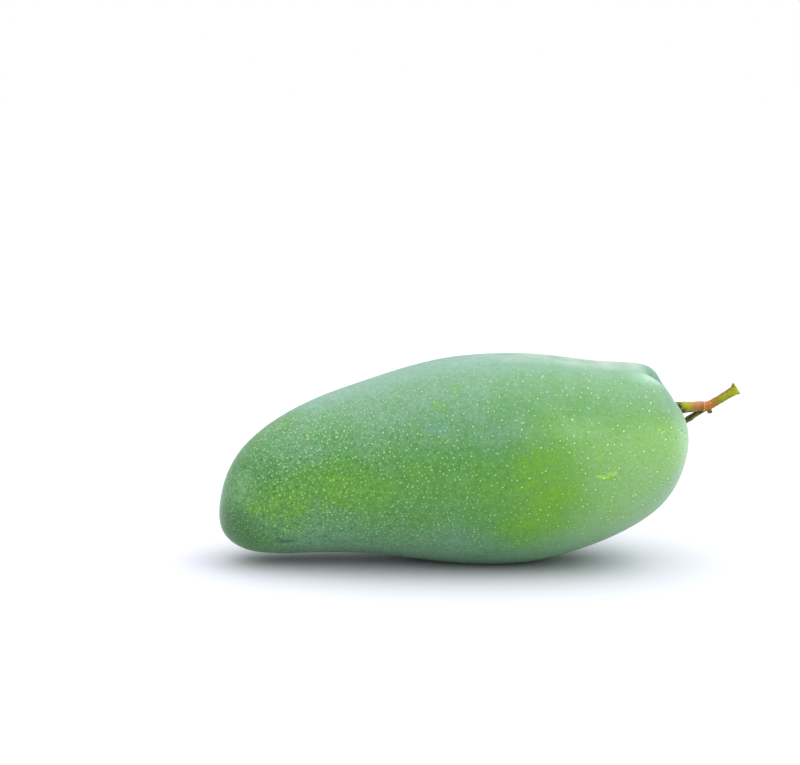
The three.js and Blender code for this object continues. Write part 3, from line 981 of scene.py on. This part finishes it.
print("bark")
barkLook = {
    "plain": linear("a2a82c"),
    "along": (           # where along X each colour takes over, in mm
        (62.0, "77802a"), (69.2, "9ba21c"), (71.4, "a8922e"), (73.0, "ac7a44"), (75.2, "9c6630"),
        (77.0, "b06c2c"), (79.4, "9c7422"), (81.0, "8f881a"), (82.6, "969e12"), (86.0, "a6b01a"),
        (87.6, "bccf2e"),
    ),
    "topBlush": linear("b87a64"),
    "underside": linear("7d7428"),
    "topEdge": linear("7c5630"),
    "black": linear("1f1a15"),
    "speck": linear("dcb68e"),
    "spot": linear("5d3a22"),
    "rust": linear("8a4a26"),
    "scar": linear("d68f5c"),
    "twig": linear("6b6e24"),
    "twigTop": linear("332b1f"),
    "stub": linear("6c6a30"),
    "wood": linear("b9c44e"),
    "pith": linear("d8d6a8"),
    "charred": (         # centre and radii of the dark cracked places
        ((68.0, -2.2, 54.5), (1.5, 2.8, 1.8)),
        ((66.7, -1.5, 56.1), (2.0, 3.0, 1.0)),
        ((69.3, -2.0, 52.9), (1.7, 2.6, 1.4)),
        ((71.4, -1.8, 52.1), (2.2, 2.4, 0.9)),
        ((75.0, -1.5, 52.2), (1.3, 2.0, 0.8)),
        ((79.2, -0.6, 51.9), (0.7, 1.6, 0.8)),
        ((88.8, -0.3, 58.5), (1.0, 2.2, 0.9)),
    ),
    "charredEdge": 0.4,
    "blush": ((74.6, -1.0, 56.2), (4.6, 3.0, 2.6)),      # centre and radii of the pink place on top
    "blushEdge": 0.2,
    "grooveGap": 0.75,                # from the raised ring to the dark groove beside it
    "speckSpacing": 0.95,
    "spotSpacing": 0.9,
    "spotShape": (0.7, 1.0, 1.0),
    "spotCore": 0.02,                 # radius of a spot's darkest middle
    "grains": {          # size, detail, roughness and seed of each noise
        "fibres": (0.55, 3.0, 0.6, 11.0),
        "blotches": (1.8, 3.0, 0.6, 12.0),
        "crumbs": (0.4, 2.0, 0.6, 13.0),
    },
    "fibreShape": (0.35, 1.0, 1.0),
    "bandWander": (3.0, 1.2),         # how far each edge strays with the blotches, fibres or crumbs
    "edgeWander": 0.8,
    "twigWander": 1.2,
    "scarWander": 0.5,
    "grooveWander": (0.8, 1.5),
    "spotWander": 0.5,
    "charredWander": 0.7,
    "shading": (0.5, 0.5),
    "strengths": {
        "topBlush": 0.7,
        "underside": 0.6,
        "topEdge": 0.75,
        "scar": 0.9,
        "groove": 0.6,
        "rust": 0.55,
        "speck": 0.7,
        "spot": 0.75,
        "charred": 0.92,
    },
    "roughness": 0.6,
    "gloss": 0.25,
    "reliefFibres": 0.12,
    "reliefCrumbs": 0.04,
    "ramps": {           # where each one starts and ends, and its values there if they aren't 0 and 1
        # along X, in mm
        "edgeStart": (79.0, 81.0),
        "edgeEnd": (87.3, 86.3),
        "twigDark": (70.6, 72.8, 0.25, 1.0),
        "rustStart": (71.5, 73.5),
        "speckStart": (72.0, 74.0),
        "marksEnd": (83.0, 80.0),
        # 1 on top of the rod, -1 underneath
        "beneath": (-0.1, -0.8),
        "topEdge": (0.55, 0.95),
        "twigTop": (-0.1, 0.7),
        "grooveBeneath": (0.5, -0.3),
        # noise
        "blushMottle": (0.3, 0.6),
        "scarMottle": (0.3, 0.5),
        "rustMottle": (0.52, 0.66),
        "charredMottle": (0.34, 0.46),
        # distance from the mark's middle, in mm, and the cells' dice
        "scarEdge": (0.26, 0.08),
        "grooveEdge": (0.35, 0.1),
        "speckEdge": (0.22, 0.08),
        "speckChance": (0.4, 0.6),
        "spotRadius": (0.0, 1.0, 0.12, 0.4),
        "spotChance": (0.4, 0.5),
        # distance from the middle line, in radii
        "pith": (0.4, 0.15),
    },
}


class Bark(Recipe):
    def __init__(self):
        super().__init__("mangoBark", barkLook["plain"], barkLook["ramps"])
        self.lift = self.attribute("lift")
        stretched = self.stretch(self.place, barkLook["fibreShape"])
        self.fibres = self.grain(stretched, *barkLook["grains"]["fibres"])[0]
        self.blotches = self.grain(self.place, *barkLook["grains"]["blotches"])[0]
        self.crumbs = self.grain(self.place, *barkLook["grains"]["crumbs"])[0]

    def coat(self, colour, name, *masks):  # lay one of the named colours over the rest
        return self.mix(self.times(*masks, barkLook["strengths"][name]), colour, barkLook[name])


def paintBands(bark):  # yellow-green, brown and rusty bands along the stalk
    byBlotches, byFibres = barkLook["bandWander"]
    wander = bark.sum(bark.swing(bark.blotches, byBlotches), bark.swing(bark.fibres, byFibres))
    strayed = bark.sum(bark.x, wander)
    colour = linear(barkLook["along"][0][1])
    for (before, _), (here, code) in zip(barkLook["along"], barkLook["along"][1:]):
        band = bark.rise(strayed, (before + here) / 2, here + (here - before) / 4)
        colour = bark.mix(band, colour, linear(code))
    blushed = bark.spot(bark.place, *barkLook["blush"], barkLook["blushEdge"])
    colour = bark.coat(colour, "topBlush", blushed, bark.ramp(bark.blotches, "blushMottle"))
    colour = bark.coat(colour, "underside", bark.ramp(bark.lift, "beneath"))
    edge = bark.ramp(bark.sum(bark.lift, bark.swing(bark.fibres, barkLook["edgeWander"])), "topEdge")
    return bark.coat(colour, "topEdge", edge, bark.ramp(bark.x, "edgeStart"), bark.ramp(bark.x, "edgeEnd"))


def paintBranches(bark, colour):
    dark = bark.ramp(bark.sum(bark.lift, bark.swing(bark.blotches, barkLook["twigWander"])), "twigTop")
    twig = bark.mix(bark.times(dark, bark.ramp(bark.x, "twigDark")), barkLook["twig"], barkLook["twigTop"])
    colour = bark.mix(bark.attribute("onTwig"), colour, twig)
    return bark.mix(bark.attribute("onStub"), colour, barkLook["stub"])


def paintRings(bark, colour):  # the pale raised ring, and a dark groove beside it
    place = bark.sum(bark.x, bark.swing(bark.blotches, barkLook["scarWander"]))
    ring = bark.calc("ABSOLUTE", bark.calc("SUBTRACT", place, stalkForm["scarX"]))
    colour = bark.coat(colour, "scar", bark.ramp(ring, "scarEdge"), bark.ramp(bark.fibres, "scarMottle"))
    byBlotches, byFibres = barkLook["grooveWander"]
    place = bark.sum(bark.x, bark.swing(bark.blotches, byBlotches))
    groove = bark.calc("ABSOLUTE", bark.sum(place, barkLook["grooveGap"] - stalkForm["scarX"]))
    beneath = bark.ramp(bark.sum(bark.lift, bark.swing(bark.fibres, byFibres)), "grooveBeneath")
    groove = bark.times(bark.ramp(groove, "grooveEdge"), beneath, barkLook["strengths"]["groove"])
    return bark.mix(groove, colour, barkLook["spot"])


def paintSpots(bark, colour):  # rust, pale specks and brown spots
    colour = bark.coat(colour, "rust", bark.ramp(bark.crumbs, "rustMottle"), bark.ramp(bark.x, "rustStart"),
                       bark.ramp(bark.x, "marksEnd"))
    distance, (dice, _, _) = bark.cells(bark.place, barkLook["speckSpacing"])
    colour = bark.coat(colour, "speck", bark.ramp(distance, "speckEdge"), bark.ramp(dice, "speckChance"),
                       bark.ramp(bark.x, "speckStart"), bark.ramp(bark.x, "marksEnd"))
    shaped = bark.stretch(bark.place, barkLook["spotShape"])
    distance, (dice, sizeDice, _) = bark.cells(shaped, barkLook["spotSpacing"])
    distance = bark.sum(distance, bark.swing(bark.crumbs, barkLook["spotWander"]))
    brown = bark.rise(distance, bark.ramp(sizeDice, "spotRadius"), barkLook["spotCore"])
    return bark.coat(colour, "spot", brown, bark.ramp(dice, "spotChance"))


def paintEnds(bark, colour):  # torn wood with its pith, and the black cracks
    wood = bark.mix(bark.ramp(bark.attribute("reach"), "pith"), barkLook["wood"], barkLook["pith"])
    colour = bark.mix(bark.attribute("torn"), colour, wood)
    charred = 0.0
    for centre, radii in barkLook["charred"]:
        charred = bark.calc("MAXIMUM", charred, bark.spot(bark.place, centre, radii, barkLook["charredEdge"]))
    cracks = bark.sum(bark.fibres, bark.swing(bark.blotches, barkLook["charredWander"]))
    charred = bark.times(charred, bark.ramp(cracks, "charredMottle"), barkLook["strengths"]["charred"])
    return bark.mix(charred, colour, barkLook["black"])


def makeBark(stalk):
    bark = Bark()
    colour = paintBranches(bark, paintBands(bark))
    colour = paintEnds(bark, paintSpots(bark, paintRings(bark, colour)))
    byFibres, byCrumbs = barkLook["shading"]
    shade = bark.sum(bark.swing(bark.fibres, byFibres), bark.swing(bark.crumbs, byCrumbs))
    bark.feed(bark.shader.inputs["Base Color"], bark.dim(colour, bark.sum(1.0, shade)))
    bark.shader.inputs["Roughness"].default_value = barkLook["roughness"]
    bark.shader.inputs["Specular IOR Level"].default_value = barkLook["gloss"]
    relief = bark.times(bark.fibres, barkLook["reliefFibres"])
    bark.emboss(bark.sum(relief, bark.times(bark.crumbs, barkLook["reliefCrumbs"])))
    bark.finish(stalk)


makeBark(mangoStalk)
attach(mangoStalk, "root")
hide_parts("stem")

print("studio")
studioLook = {
    "floor": (0.66, 0.666, 0.73, 1.0),
    "floorRadius": 6.0,                # metres
    "sky": (                           # height, 1 straight up, and brightness
        (0.0, 1.0),
        (0.04, 1.0),
        (0.12, 0.4),
        (0.45, 0.85),
        (1.0, 2.35),
    ),
    "sunStrength": 1.0,
    "sunSoftness": 45.0,               # degrees across
    "sunFrom": (0.75, 0.0, 1.0),
}


def makeStudio():
    bpy.ops.mesh.primitive_circle_add(vertices=96, radius=studioLook["floorRadius"], fill_type="NGON")
    floor = bpy.context.object
    floor.name = "studioFloor"
    paint = bpy.data.materials.new("studioFloor")
    paint.use_nodes = True
    shader = paint.node_tree.nodes["Principled BSDF"]
    shader.inputs["Base Color"].default_value = studioLook["floor"]
    shader.inputs["Roughness"].default_value = 1.0
    shader.inputs["IOR"].default_value = 1.0           # fully matte
    floor.data.materials.append(paint)

    world = bpy.data.worlds.new("studio")
    world.use_nodes = True
    tree = world.node_tree
    direction = tree.nodes.new("ShaderNodeTexCoord").outputs["Generated"]
    parts = tree.nodes.new("ShaderNodeSeparateXYZ")
    tree.links.new(direction, parts.inputs[0])
    climb = tree.nodes.new("ShaderNodeValToRGB")
    tree.links.new(parts.outputs["Z"], climb.inputs["Fac"])
    ramp = climb.color_ramp
    for number, (height, brightness) in enumerate(studioLook["sky"]):
        stop = ramp.elements[number] if number < 2 else ramp.elements.new(height)
        stop.position = height
        stop.color = (brightness, brightness, brightness, 1.0)
    background = tree.nodes["Background"]
    tree.links.new(climb.outputs["Color"], background.inputs["Color"])
    bpy.context.scene.world = world

    light = bpy.data.lights.new("softSun", "SUN")
    light.energy = studioLook["sunStrength"]
    light.angle = math.radians(studioLook["sunSoftness"])
    sun = addObject("softSun", light)
    sun.location = studioLook["sunFrom"]
    aimAt(sun, Vector((0, 0, 0)))
    bpy.context.scene.view_settings.view_transform = "Standard"


makeStudio()
